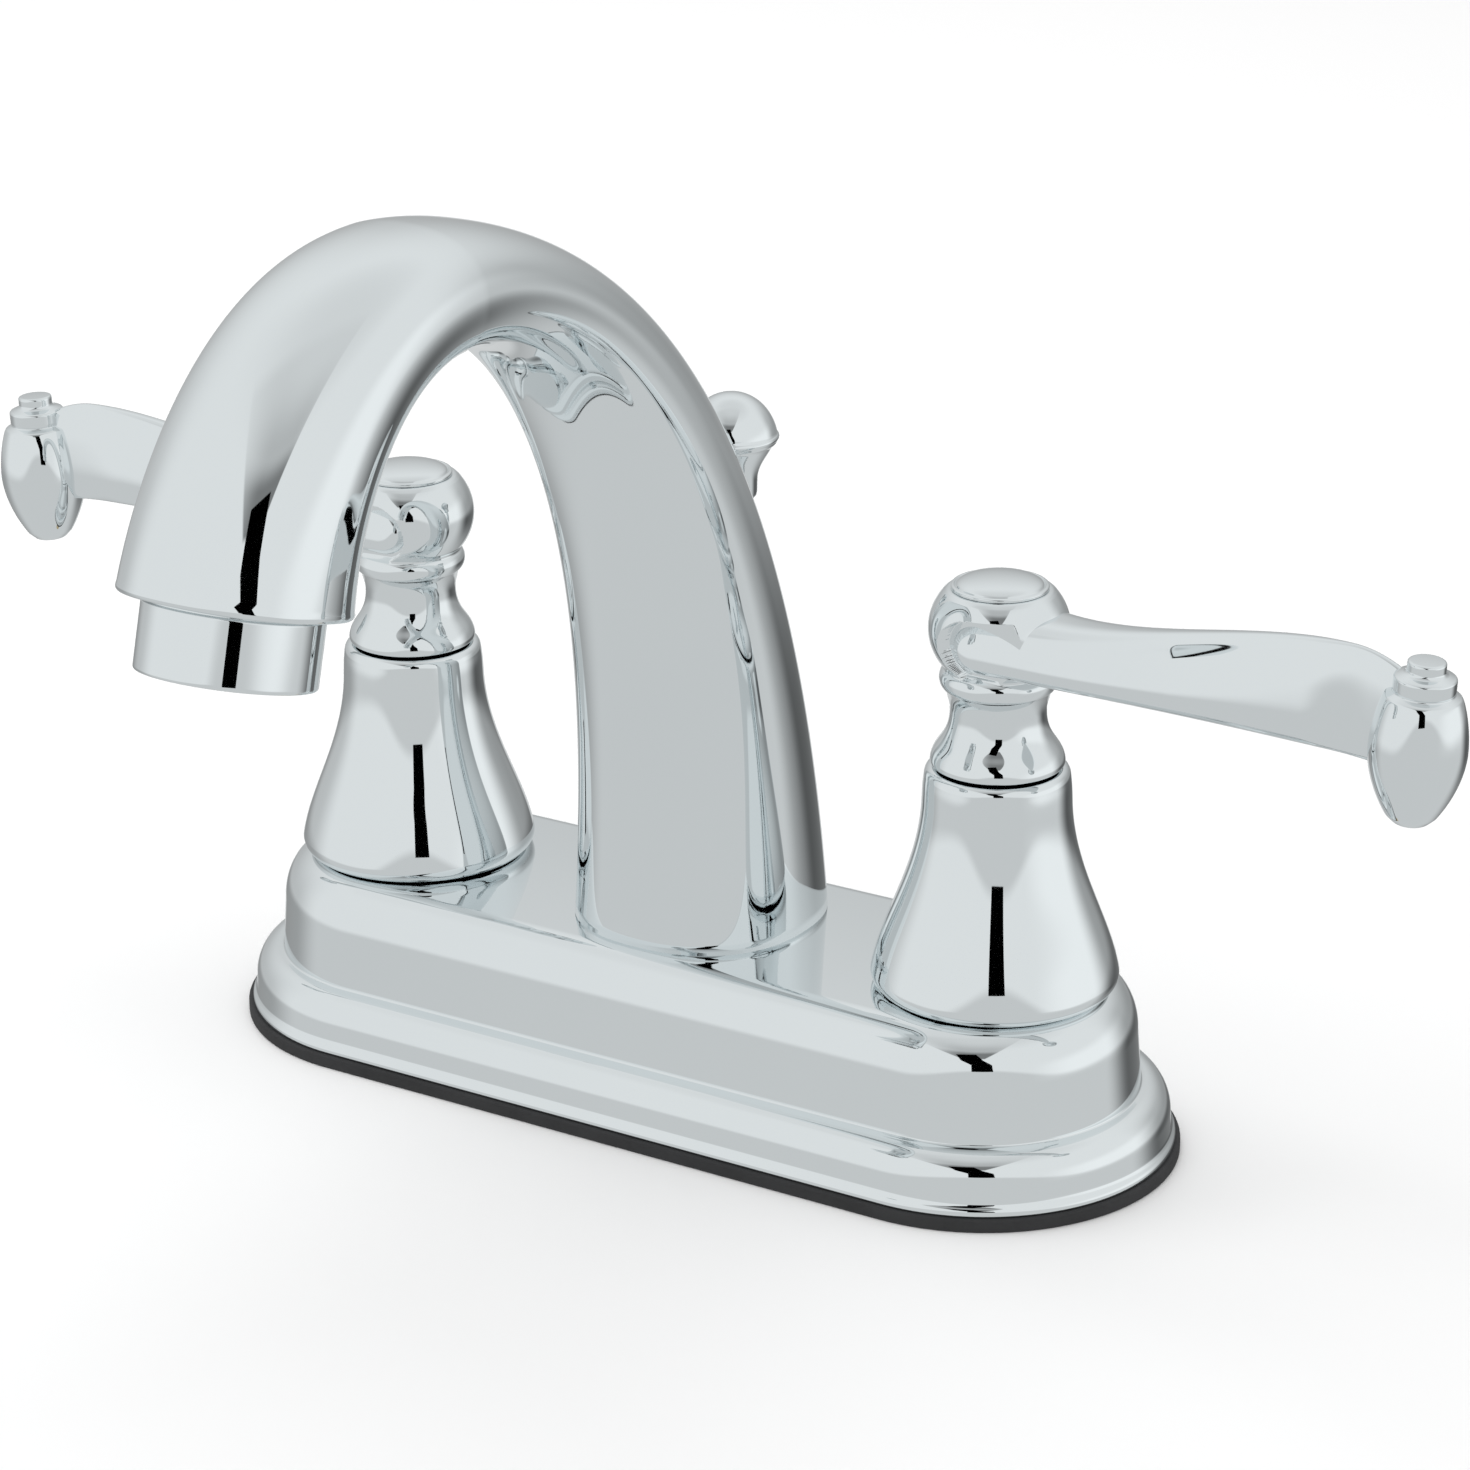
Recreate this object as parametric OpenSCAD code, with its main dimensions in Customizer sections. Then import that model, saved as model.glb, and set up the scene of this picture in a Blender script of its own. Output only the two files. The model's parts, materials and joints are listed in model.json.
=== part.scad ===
// Centerset bathroom faucet for a deck with holes on 4 inch centres.
// Z is up from the deck, the spout leans to the front (-Y), hot is on the left (-X).

/* [Base] */
// distance between the two handle axes
centres = 101.6; // [96:0.2:106]
// distance from the middle to the centre of each rounded base end
base_spine = 48.5; // [46:0.1:50]
// thickness of the gasket under the base
gasket_h = 2; // [1.5:0.1:3]
// radius of the lip at the foot of the base
lip_r = 28.7; // [28:0.1:29.4]
// how far the gasket stands out beyond the lip
gasket_edge = 0.7; // [0.3:0.1:1.2]
// height of the lip's edge
lip_h = 0.8; // [0.5:0.1:1.2]
// how far the lower wall stands back from the lip
lip_step = 0.8; // [0.4:0.1:1.2]
// height at which the lower wall meets its rounded shoulder
wall_z = 6; // [5:0.1:7]
// width of the rounded lower shoulder
shoulder_w = 3.7; // [3:0.1:4.2]
// height of the step between the two tiers
step_z = 10.6; // [10:0.1:12]
// width of the ledge between the two tiers
ledge_w = 0.7; // [0.4:0.1:1]
// how far the upper tier's wall leans in
tier_lean = 0.6; // [0.3:0.1:0.9]
// height at which the upper wall turns into its roll
roll_z = 18.9; // [18:0.1:20]
// width of the roll between the upper wall and the flat plateau
roll_w = 5.6; // [5:0.1:6.2]
// height of the plateau above the deck
plateau_z = 26.3; // [25.5:0.1:27.5]
// thickness of the cast shell
shell_t = 2.5; // [2:0.1:2.8]

/* [Bells] */
// radius of the bell where it stands on the plateau
bell_foot_r = 16.2; // [15.6:0.1:16.6]
// widest radius of the bell
bell_max_r = 17.9; // [17.2:0.1:18.4]
// height of the widest place above the plateau
bell_max_h = 2.1; // [1.6:0.1:2.6]
// radius of the bell's slender neck
bell_neck_r = 10.7; // [10.4:0.1:11.2]
// height of the bell's top edge
bell_top_z = 59.8; // [59:0.1:60]
// rounding of the top edge
bell_edge = 1.2; // [0.8:0.1:1.6]
// thickness of the bell's wall
bell_t = 2; // [1.6:0.1:2.2]
// height of the threaded boss inside the bell
boss_z = 46; // [44:0.2:48]

/* [Handles] */
// dark gap between bell and handle
handle_gap = 0.4; // [0.3:0.1:0.6]
// radius of the handle's flared collar
collar_r = 9.6; // [9:0.1:10]
// radius of the handle's waist
waist_r = 6.85; // [6.6:0.05:7.2]
// height of the waist
waist_z = 68.2; // [67.6:0.1:68.6]
// radius of the bead under the ball
bead_r = 8.4; // [8:0.1:8.8]
// height of the bead's middle
bead_z = 73.2; // [72.8:0.1:73.6]
// radius of the ball
ball_r = 10; // [9.6:0.1:10.4]
// half height of the ball
ball_h = 8.9; // [8.6:0.1:9.2]
// height of the ball's centre
ball_z = 80.3; // [80:0.1:80.8]
// height at which the ball is cut level
ball_cut_z = 86.2; // [86:0.1:86.6]
// how far both levers are turned to the front
lever_turn = 5.4; // [0:0.2:12]
// distance from the handle axis to the finial's axis
lever_reach = 66.5; // [62:0.5:70]
// height of the lever's straight lower edge
lever_low_z = 74.6; // [74.2:0.1:75]
// height of the lever's ridge at the hub
lever_hub_z = 83.7; // [83.2:0.1:84.2]
// rise of the lever's ridge towards its tip
lever_rise = 6.2; // [5.6:0.1:6.6]
// half thickness of the lever where it leaves the ball
lever_hub_b = 8.9; // [8.4:0.1:9.2]
// half thickness of the lever near its tip
lever_tip_b = 3.3; // [2.9:0.1:3.8]
// half thickness of the scooped neck before the finial
lever_neck_b = 2; // [1.7:0.05:2.4]
// length of the rounded nose that the lever pushes into the ball
nose_len = 5.2; // [4.6:0.1:5.8]
// widest radius of the finial
bud_r = 6.6; // [6.2:0.1:7]
// height of the finial's lower end
bud_low_z = 66.8; // [66:0.1:67.6]
// height of the finial's button
bud_top_z = 90; // [89.4:0.1:90.6]
// radius of the finial's shoulder
bud_shoulder_r = 5.2; // [5:0.1:5.6]
// radius of the finial's ring
bud_ring_r = 4.2; // [3.9:0.1:4.5]
// radius of the finial's button
bud_button_r = 2.6; // [2.3:0.1:3]
// outward tilt of the finial
bud_tilt = 3.5; // [0:0.5:5]
// radius of the index button's rim
index_r = 6.9; // [6.5:0.1:7.1]
// radius of the index button's dome
index_dome_r = 6.2; // [5.6:0.1:6.4]
// height of the index button above the cut ball
index_h = 1.8; // [1.4:0.1:2.2]
// radius of the index button's plug
index_plug_r = 5.9; // [5.6:0.1:6]

/* [Spout] */
// distance of the spout's axis behind the middle at its foot
foot_y = 1.4; // [0.8:0.1:2]
// half width of the spout at its foot
foot_w = 18.3; // [17.8:0.1:18.6]
// half thickness of the spout at its foot
foot_t = 18.1; // [17.6:0.1:18.4]
// distance from the middle to the crown of the arch
crown_y = 68.4; // [64:0.5:72]
// height of the crown's centreline
crown_z = 138.4; // [134:0.2:142]
// half width at the crown
crown_w = 13.3; // [12.6:0.1:13.8]
// half thickness at the crown
crown_t = 9; // [8.6:0.1:9.6]
// half width that the upper leg draws in to
leg_w = 12.2; // [11.8:0.1:13]
// half thickness that the upper leg draws in to
leg_t = 6; // [5.6:0.1:6.6]
// distance from the middle to the mouth
mouth_y = 106.2; // [103:0.2:110]
// height of the mouth
mouth_z = 106.9; // [104:0.1:109]
// forward tilt of the stream
mouth_tilt = 16; // [12:0.5:18]
// half width at the mouth
mouth_w = 14.8; // [14.4:0.1:15.2]
// half thickness at the mouth
mouth_t = 13.7; // [13.4:0.1:14.2]
// squareness of the spout's section, 2 is an ellipse
spout_n = 2.3; // [2:0.1:2.6]
// length of the upward pull at the foot
pull_foot = 84.5; // [80:0.5:88]
// length of the pull into the crown from the leg
pull_in = 26.4; // [24:0.2:29]
// length of the pull out of the crown
pull_out = 21.4; // [20:0.2:23]
// length of the pull into the mouth
pull_mouth = 14.9; // [13:0.1:17]
// thickness of the spout's wall
spout_t = 2.4; // [2.1:0.1:2.6]
// thickness of the floor in the spout's foot
floor_t = 4; // [3.4:0.1:4.6]
// radius of the threaded stud under the spout
stud_r = 7.5; // [7.2:0.1:7.8]
// distance of the stud in front of the middle
stud_y = 4; // [3.6:0.1:4.4]

/* [Aerator] */
// radius of the aerator
aerator_r = 11.7; // [11.4:0.1:12]
// visible length of the aerator
aerator_len = 9.5; // [9:0.1:10]
// radius of the aerator's thread
aerator_thread_r = 10.8; // [10.4:0.1:11]
// length of the aerator's thread
aerator_thread_len = 6; // [5:0.1:6.4]
// radius of the opening at the aerator's end
aerator_bore_r = 9.2; // [8.8:0.1:9.4]

/* [Lift rod] */
// distance of the lift rod behind the middle
rod_y = 11; // [10.6:0.1:11.4]
// radius of the lift rod
rod_r = 1.6; // [1.4:0.05:1.7]
// height of the lower end of the rod, below the deck
rod_low = -70; // [-90:1:-60]
// radius of the rod's turned lower end
rod_end_r = 1.2; // [1:0.05:1.3]
// length of the rod's turned lower end
rod_end_len = 20; // [10:1:24]
// height of the knob's lower end
knob_z = 87.6; // [87:0.1:89]
// radius of the knob's neck
knob_neck_r = 3.8; // [3.5:0.1:4]
// widest radius of the knob
knob_r = 7; // [6.6:0.1:7.4]
// height of the knob
knob_h = 16.2; // [15.6:0.1:16.8]

/* [Valves] */
// radius of the threaded supply shank
shank_r = 10.4; // [10.2:0.05:10.6]
// length of the shank below the deck
shank_len = 50; // [42:0.5:60]
// radius of the supply thread at the shank's lower end
supply_r = 10.2; // [10:0.05:10.35]
// length of the supply thread
supply_len = 20; // [14:0.5:20]
// radius of the supply bore in the shank
inlet_r = 5.5; // [5:0.1:6]
// radius of the valve body inside the base
valve_r = 14; // [13.4:0.1:14.4]
// radius of the valve's neck
neck_r = 10.8; // [10.6:0.1:11]
// height of the valve's neck
neck_z = 38; // [37:0.1:39]
// radius of the bore for the cartridge
cart_bore_r = 8.45; // [8.3:0.05:8.6]
// height of the seat on which the seal lies
seat_z = 2.5; // [2.2:0.1:2.8]
// height of the seat seal
seal_h = 2; // [1.8:0.1:2.2]
// thickness of each ceramic disc
disc_h = 2.5; // [2.3:0.1:2.6]
// radius of the ceramic discs
disc_r = 6.7; // [6.5:0.1:6.8]
// radius of the stem
stem_r = 4; // [3.9:0.05:4.2]
// side of the stem's square head
stem_sq = 5.6; // [5.3:0.1:5.6]
// height of the stem's top
stem_top_z = 74; // [72:0.2:74.4]
// thickness of the deck between gasket and washers
deck_t = 20; // [12:1:30]
// thickness of the locknuts
locknut_h = 7; // [6:0.2:9]
// radius of the rubber washers under the deck
washer_r = 17; // [15.6:0.2:18]
// height of the tubes that join the valves to the middle
tube_z = 8.5; // [8.2:0.1:8.8]
// radius of these tubes
tube_r = 4.2; // [4:0.1:4.4]
// wall of the tubes
tube_t = 0.8; // [0.6:0.1:1]

/* [Hidden] */
// clearance of threads and brazed sockets
fit = 0.05;
// clearance round the stem and the rod
run = 0.05;
// clearance of holes that parts only pass through
pass = 0.6;
half = centres / 2;
gasket_r = lip_r + gasket_edge;
wall_r = lip_r - lip_step;
shoulder_r = wall_r - shoulder_w;
tier_r = shoulder_r - ledge_w;
tier_top_r = tier_r - tier_lean;
plateau_r = tier_top_r - roll_w;
curve_n = 7;
fn_turn = 48;
fn_hole = 32;
spout_around = 40;
leg_steps = 24;
drop_steps = 13;
hose_around = 12;

plate_under_z = plateau_z - shell_t;
handle_z = bell_top_z + handle_gap;
floor_z = plateau_z + floor_t;
nut_h = 5;
body_nut_r = 14;
spout_nut_r = 11.2;
cart_hex_r = 10.2;
clamp_h = 1.2;
clamp_r = 10.4;
stud_end_z = 13.8;
tee_floor_z = 12;
tee_top_z = 17.4;
tee_low_z = 3.2;
tee_half = 15;
tee_r = 10;
tube_in = 4;
port_r = 3;
lower_disc_z = seat_z + seal_h;
upper_disc_z = lower_disc_z + disc_h;
driver_z = upper_disc_z + disc_h;
driver_h = 2.8;
chamber_top_z = driver_z + driver_h + 0.3;
chamber_r = disc_r + 0.3;
skirt_z = lower_disc_z - 1;
gland_z = neck_z + 5;
gland_top_z = 54;
gland_r = 6.2;
stem_sq_z = 58;
web_z = stem_top_z + 0.3;
web_top_z = web_z + 4;
plug_z = 82;
screw_r = 2;
screw_in = 8;
screw_head_r = 3.7;
screw_head_h = 3;
aerator_seat = 8;
aerator_washer_w = 4;
web_stations = 3;
hose_r = 4;
hose_bore_r = 3.2;
hose_in = 3;
bush_r = 3;
bush_flange_r = 4.2;
bush_flange_h = 1.2;
rod_into_knob = 9;
rod_hole_len = 90;

// points on an elliptic arc round (cx, cy)
function arc(cx, cy, rx, ry, a0, a1) =
    [for (i = [0:curve_n]) let (a = a0 + (a1 - a0) * i / curve_n)
        [cx + rx * cos(a), cy + ry * sin(a)]];
// a cubic curve through a and d, drawn towards b and c
function cubic(a, b, c, d, u) =
    a * pow(1 - u, 3) + b * 3 * u * pow(1 - u, 2) + c * 3 * u * u * (1 - u) + d * pow(u, 3);
function curve(a, b, c, d) =
    [for (i = [0:curve_n]) cubic(a, b, c, d, i / curve_n)];
// one coordinate of a rounded box section, k sets its squareness
function soft(c, k) = sign(c) * pow(abs(c), 2 / k);

module turned(points) {
    rotate_extrude($fn = fn_turn)
        polygon(points);
}

module rod(r, z0, z1) {
    translate([0, 0, z0])
        cylinder(r = r, h = z1 - z0, $fn = fn_hole);
}

module ring(r1, r0, z0, z1) {
    difference() {
        rod(r1, z0, z1);
        rod(r0, z0 - 1, z1 + 1);
    }
}

module hex(corner_r, z0, z1) {
    translate([0, 0, z0])
        cylinder(r = corner_r, h = z1 - z0, $fn = 6);
}

// middle of a ring of points
function middle(r) = [for (c = [0:2]) [for (p = r) p[c]] * [for (p = r) 1] / len(r)];

// a solid skin drawn over a list of equal point rings, closed by a fan at each end
module skin(rings) {
    n = len(rings[0]);
    m = len(rings);
    points = concat([for (r = rings) for (p = r) p], [middle(rings[0]), middle(rings[m - 1])]);
    sides = [for (j = [0:m - 2]) for (i = [0:n - 1]) let (k = (i + 1) % n)
        for (f = [[(j + 1) * n + k, j * n + k, j * n + i],
            [(j + 1) * n + i, (j + 1) * n + k, j * n + i]]) f];
    first = [for (i = [0:n - 1]) [i, (i + 1) % n, m * n]];
    last = [for (i = [0:n - 1]) [(m - 1) * n + (i + 1) % n, (m - 1) * n + i, m * n + 1]];
    polyhedron(points, concat(first, sides, last), convexity = 8);
}

// a shape with straight sides and round ends, made from its half profile
module long_round(profile) {
    mirrored = [for (i = [len(profile) - 1:-1:0]) [-profile[i][0], profile[i][1]]];
    rotate([90, 0, 90])
        linear_extrude(height = 2 * base_spine, center = true)
            polygon(concat(profile, mirrored));
    for (s = [-1, 1])
        translate([s * base_spine, 0, 0])
            rotate([0, 0, -90 * s])
                rotate_extrude(angle = 180, $fn = 2 * fn_turn)
                    polygon(concat([[0, profile[0][1]]], profile,
                        [[0, profile[len(profile) - 1][1]]]));
}

module at_hot() {
    translate([-half, 0, 0])
        children();
}

module at_cold() {
    mirror([1, 0, 0])
        at_hot()
            children();
}

// outside of the base, from its foot to the plateau
base_outside = concat(
    [[lip_r, gasket_h], [lip_r, gasket_h + lip_h],
        [wall_r + 0.2, gasket_h + 2 * lip_h]],
    arc(shoulder_r, wall_z, wall_r - shoulder_r, step_z - wall_z, 0, 90),
    [[tier_r, step_z]],
    arc(plateau_r, roll_z, tier_top_r - plateau_r, plateau_z - roll_z, 0, 90));
// inside of the base
base_inside = concat(
    [[wall_r - shell_t, gasket_h - 1], [wall_r - shell_t, wall_z]],
    [[tier_r - shell_t, step_z - shell_t]],
    arc(plateau_r - shell_t, roll_z, tier_top_r - plateau_r, plate_under_z - roll_z, 0, 90));

module base_escutcheon() {
    color([0.85, 0.86, 0.88])
        difference() {
            long_round(base_outside);
            long_round(base_inside);
            for (s = [-1, 1])
                translate([s * half, 0, 0])
                    rod(neck_r + pass, 0, plateau_z + 1);
            translate([0, -stud_y, 0])
                rod(stud_r + pass, 0, plateau_z + 1);
            translate([0, rod_y, 0])
                rod(bush_r + fit, 0, plateau_z + 1);
        }
}

module base_gasket() {
    color([0.08, 0.08, 0.09])
        difference() {
            union() {
                translate([-base_spine, -gasket_r, 0])
                    cube([2 * base_spine, 2 * gasket_r, gasket_h]);
                for (s = [-1, 1])
                    translate([s * base_spine, 0, 0])
                        cylinder(r = gasket_r, h = gasket_h, $fn = 2 * fn_turn);
            }
            for (s = [-1, 1])
                translate([s * half, 0, 0])
                    rod(shank_r + pass, -1, gasket_h + 1);
            translate([0, rod_y, 0])
                rod(rod_r + pass, -1, gasket_h + 1);
        }
}

// body under the base with its threaded shank and its neck
module valve_body() {
    difference() {
        union() {
            rod(valve_r, gasket_h, plate_under_z);
            rod(neck_r, plate_under_z, neck_z);
            rod(shank_r, supply_len - shank_len, gasket_h);
            rod(supply_r, -shank_len, supply_len - shank_len + 1);
        }
        rod(cart_bore_r, seat_z, neck_z + 1);
        rod(inlet_r, -shank_len - 1, seat_z + 1);
        translate([0, 0, tube_z])
            rotate([0, 90, 0]) {
                cylinder(r = port_r, h = valve_r + 1, $fn = fn_hole);
                translate([0, 0, valve_r - tube_in])
                    cylinder(r = tube_r + fit, h = tube_in + 1, $fn = fn_hole);
            }
    }
}

module hot_valve_body() {
    color([0.78, 0.64, 0.36])
        at_hot()
            valve_body();
}

module cold_valve_body() {
    color([0.78, 0.64, 0.36])
        at_cold()
            valve_body();
}

module cross_tube() {
    translate([valve_r - tube_in, 0, tube_z])
        rotate([0, 90, 0])
            ring(tube_r, tube_r - tube_t, 0,
                half - tee_half - valve_r + 2 * tube_in);
}

module hot_cross_tube() {
    color([0.76, 0.45, 0.28])
        at_hot()
            cross_tube();
}

module cold_cross_tube() {
    color([0.76, 0.45, 0.28])
        at_cold()
            cross_tube();
}

// block in the middle that gathers both streams under the spout
module spout_tee() {
    color([0.78, 0.64, 0.36])
        difference() {
            union() {
                translate([0, -stud_y, 0])
                    rod(tee_r, tee_low_z, tee_top_z);
                translate([-tee_half, -stud_y - 4, tee_low_z])
                    cube([2 * tee_half, 4 + stud_y + 6, tee_floor_z + 1.4 - tee_low_z]);
            }
            translate([0, -stud_y, 0])
                rod(stud_r + fit, tee_floor_z, tee_top_z + 1);
            translate([0, -stud_y, 0])
                rod(port_r + 1.2, tube_z, tee_floor_z + 1);
            translate([-tee_half - 1, 0, tube_z])
                rotate([0, 90, 0])
                    cylinder(r = port_r, h = 2 * tee_half + 2, $fn = fn_hole);
            for (s = [-1, 1])
                translate([s * (tee_half - tube_in), 0, tube_z])
                    rotate([0, 90 * s, 0])
                        cylinder(r = tube_r + fit, h = tube_in + 1, $fn = fn_hole);
        }
}

module shank_washer() {
    ring(washer_r, shank_r + fit, -deck_t - 2, -deck_t);
}

module hot_shank_washer() {
    color([0.12, 0.12, 0.13])
        at_hot()
            shank_washer();
}

module cold_shank_washer() {
    color([0.12, 0.12, 0.13])
        at_cold()
            shank_washer();
}

// wing nut turned up the shank by hand
module locknut() {
    z0 = -deck_t - 2 - locknut_h;
    difference() {
        union() {
            rod(shank_r + 3.6, z0, z0 + locknut_h);
            rod(washer_r - 0.5, z0 + locknut_h - 2, z0 + locknut_h);
            for (a = [0:90:270])
                rotate([0, 0, a + 45])
                    translate([shank_r + 2, -1.5, z0 + 0.5])
                        cube([washer_r - shank_r - 3.2, 3, locknut_h - 1.5]);
        }
        rod(shank_r + fit, z0 - 1, z0 + locknut_h + 1);
    }
}

module hot_locknut() {
    color([0.9, 0.89, 0.84])
        at_hot()
            locknut();
}

module cold_locknut() {
    color([0.9, 0.89, 0.84])
        at_cold()
            locknut();
}

// hexagon nut that clamps the base on the valve's neck
module body_nut() {
    difference() {
        hex(body_nut_r, plateau_z, plateau_z + nut_h);
        rod(neck_r + fit, plateau_z - 1, plateau_z + nut_h + 1);
    }
}

module hot_body_nut() {
    color([0.8, 0.68, 0.4])
        at_hot()
            body_nut();
}

module cold_body_nut() {
    color([0.8, 0.68, 0.4])
        at_cold()
            body_nut();
}

// quarter turn headwork that holds the discs and guides the stem
module cartridge_body() {
    difference() {
        union() {
            rod(cart_bore_r - fit, skirt_z, neck_z);
            hex(cart_hex_r, neck_z, gland_z);
            rod(gland_r, gland_z, gland_top_z);
        }
        rod(chamber_r, skirt_z - 1, chamber_top_z);
        rod(stem_r + run, skirt_z, gland_top_z + 1);
        for (s = [-1, 1])
            translate([0, 0, tube_z])
                rotate([0, 90 * s, 0])
                    cylinder(r = port_r, h = cart_bore_r + 1, $fn = fn_hole);
    }
}

module hot_cartridge_body() {
    color([0.82, 0.7, 0.42])
        at_hot()
            cartridge_body();
}

module cold_cartridge_body() {
    color([0.82, 0.7, 0.42])
        at_cold()
            cartridge_body();
}

// stem with a driver that turns the upper disc and a square head for the handle
module stem() {
    difference() {
        union() {
            rod(stem_r, driver_z, stem_sq_z);
            rod(disc_r - 0.3, driver_z, driver_z + driver_h);
            translate([-disc_r * 0.7, -1.4, driver_z - 1])
                cube([disc_r * 1.4, 2.8, 2]);
            translate([-stem_sq / 2, -stem_sq / 2, stem_sq_z - 1])
                cube([stem_sq, stem_sq, stem_top_z - stem_sq_z + 1]);
        }
        rod(screw_r + fit, stem_top_z - screw_in - 1, stem_top_z + 1);
    }
}

module hot_stem() {
    color([0.8, 0.66, 0.38])
        at_hot()
            stem();
}

module cold_stem() {
    color([0.8, 0.66, 0.38])
        at_cold()
            stem();
}

// ceramic disc with its two ports
module disc(z0, slot) {
    difference() {
        rod(disc_r, z0, z0 + disc_h);
        for (s = [-1, 1])
            translate([0, s * 3.9, 0])
                rod(1.9, z0 - 1, z0 + disc_h + 1);
        if (slot)
            translate([-disc_r * 0.7 - 0.1, -1.5, z0 + disc_h - 1.1])
                cube([disc_r * 1.4 + 0.2, 3, 2]);
    }
}

module hot_upper_disc() {
    color([0.93, 0.92, 0.88])
        at_hot()
            disc(upper_disc_z, true);
}

module cold_upper_disc() {
    color([0.93, 0.92, 0.88])
        at_cold()
            disc(upper_disc_z, true);
}

module hot_lower_disc() {
    color([0.93, 0.92, 0.88])
        at_hot()
            disc(lower_disc_z, false);
}

module cold_lower_disc() {
    color([0.93, 0.92, 0.88])
        at_cold()
            disc(lower_disc_z, false);
}

module seat_seal() {
    ring(disc_r, inlet_r, seat_z, seat_z + seal_h);
}

module hot_seat_seal() {
    color([0.15, 0.15, 0.16])
        at_hot()
            seat_seal();
}

module cold_seat_seal() {
    color([0.15, 0.15, 0.16])
        at_cold()
            seat_seal();
}

bell_max_z = plateau_z + bell_max_h;
flank = curve([bell_max_r, bell_max_z], [bell_max_r - 1.3, bell_max_z + 7.6],
    [bell_neck_r + 0.2, bell_max_z + 15.6], [bell_neck_r, bell_top_z - 4.8]);

// fluted bell that covers the headwork and screws on its gland
module bell() {
    top_r = bell_neck_r - 0.5;
    difference() {
        turned(concat(
            [[gland_r + 1, plateau_z]],
            [[bell_foot_r, plateau_z]],
            arc(bell_foot_r, bell_max_z, bell_max_r - bell_foot_r, bell_max_h, -75, -10),
            flank,
            [[bell_neck_r - 0.1, bell_top_z - 2.8]],
            arc(top_r - bell_edge, bell_top_z - bell_edge, bell_edge, bell_edge, 0, 90),
            [[gland_r - 1, bell_top_z], [gland_r - 1, boss_z], [gland_r + 1, boss_z]]));
        turned(concat(
            [[0, plateau_z - 1], [bell_foot_r - 1, plateau_z - 1],
                [bell_foot_r - 1, bell_max_z]],
            [for (p = flank) if (p[1] > bell_max_z + 1 && p[1] < boss_z) [p[0] - bell_t, p[1]]],
            [[bell_neck_r + 0.8 - bell_t, boss_z], [0, boss_z]]));
        rod(gland_r + fit, boss_z - 1, gland_top_z + 0.3);
        rod(stem_r + pass, boss_z, bell_top_z + 1);
    }
}

module hot_bell() {
    color([0.86, 0.87, 0.89])
        at_hot()
            bell();
}

module cold_bell() {
    color([0.86, 0.87, 0.89])
        at_cold()
            bell();
}

nose_u = 1;
nose_w = 6.4;
neck_u = lever_reach - 16.5;
tip_u = lever_reach - 10.5;
nose_mid_z = (lever_low_z + lever_hub_z) / 2;
nose_h = (lever_hub_z - lever_low_z) / 2;
// height of the nose's outline at a distance from the handle axis
function nose(u) = nose_h * sqrt(1 - pow((nose_u - u) / nose_len, 2));
// half thickness of the lever, which thins quickly and is scooped before the finial
function lever_b(u) =
    let (b = lever_tip_b + (lever_hub_b - lever_tip_b) * pow(max(0, 1 - u / (tip_u + 2)), 1.6))
    b - (b - lever_neck_b) * pow(sin(90 * min(1, max(0, (u - neck_u) / 9.5))), 2);
// height of the lever's ridge
function lever_top(u) = u < nose_u ? nose_mid_z + nose(u)
    : let (t = min(1, max(0, (u - 10) / (tip_u - 10))))
        lever_hub_z + lever_rise * t * t * (3 - 2 * t) - 1.9 * pow(max(0, u - tip_u) / 7.5, 2);
// height of the lever's lower edge
function lever_low(u) = u < nose_u ? nose_mid_z - nose(u)
    : lever_low_z - 0.8 * pow(max(0, u - neck_u) / 13, 2);
// how much thinner the lever is at its ridge than at its lower edge
function lever_wedge(u) = 0.2 + 0.25 * min(1, max(0, u / 30));
lever_stations = [-4.1, -3.5, -2.4, -0.8, 1, 4, 8, 12, 17, 22, 28, 34, 40, 46, neck_u, neck_u + 3,
    tip_u, tip_u + 2.5, tip_u + 4.5, tip_u + 6, tip_u + 7.5];

// the lever's faces bulge and round off towards their outline, also round the nose
module lever() {
    skin([for (u = lever_stations)
        let (b = lever_b(u), top = lever_top(u), low = lever_low(u), w = lever_wedge(u),
            ahead = max(0, (nose_u - u) / nose_len), c = sqrt(1 - ahead * ahead))
        [for (i = [0:23]) let (a = 360 * (i + 0.5) / 24, v = soft(sin(a), 3),
            edge = sqrt(ahead * ahead + c * c * v * v),
            side = sign(cos(a)) * pow(max(0, 1 - pow(edge, 3)), 1 / 3))
            [u, b * side * (1 - w * (1 + c * v) / 2), (top + low + (top - low) * v) / 2]]]);
}

bud_body = concat(
    curve([bud_ring_r - 0.4, bud_low_z + 1.2], [bud_ring_r + 0.7, bud_low_z + 2.9],
        [bud_r - 0.1, bud_low_z + 6.8], [bud_r, bud_low_z + 11.2]),
    curve([bud_r, bud_low_z + 11.4], [bud_r, bud_low_z + 14],
        [bud_r - 0.6, bud_top_z - 6.7], [bud_shoulder_r + 0.1, bud_top_z - 5.4]));

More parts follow.
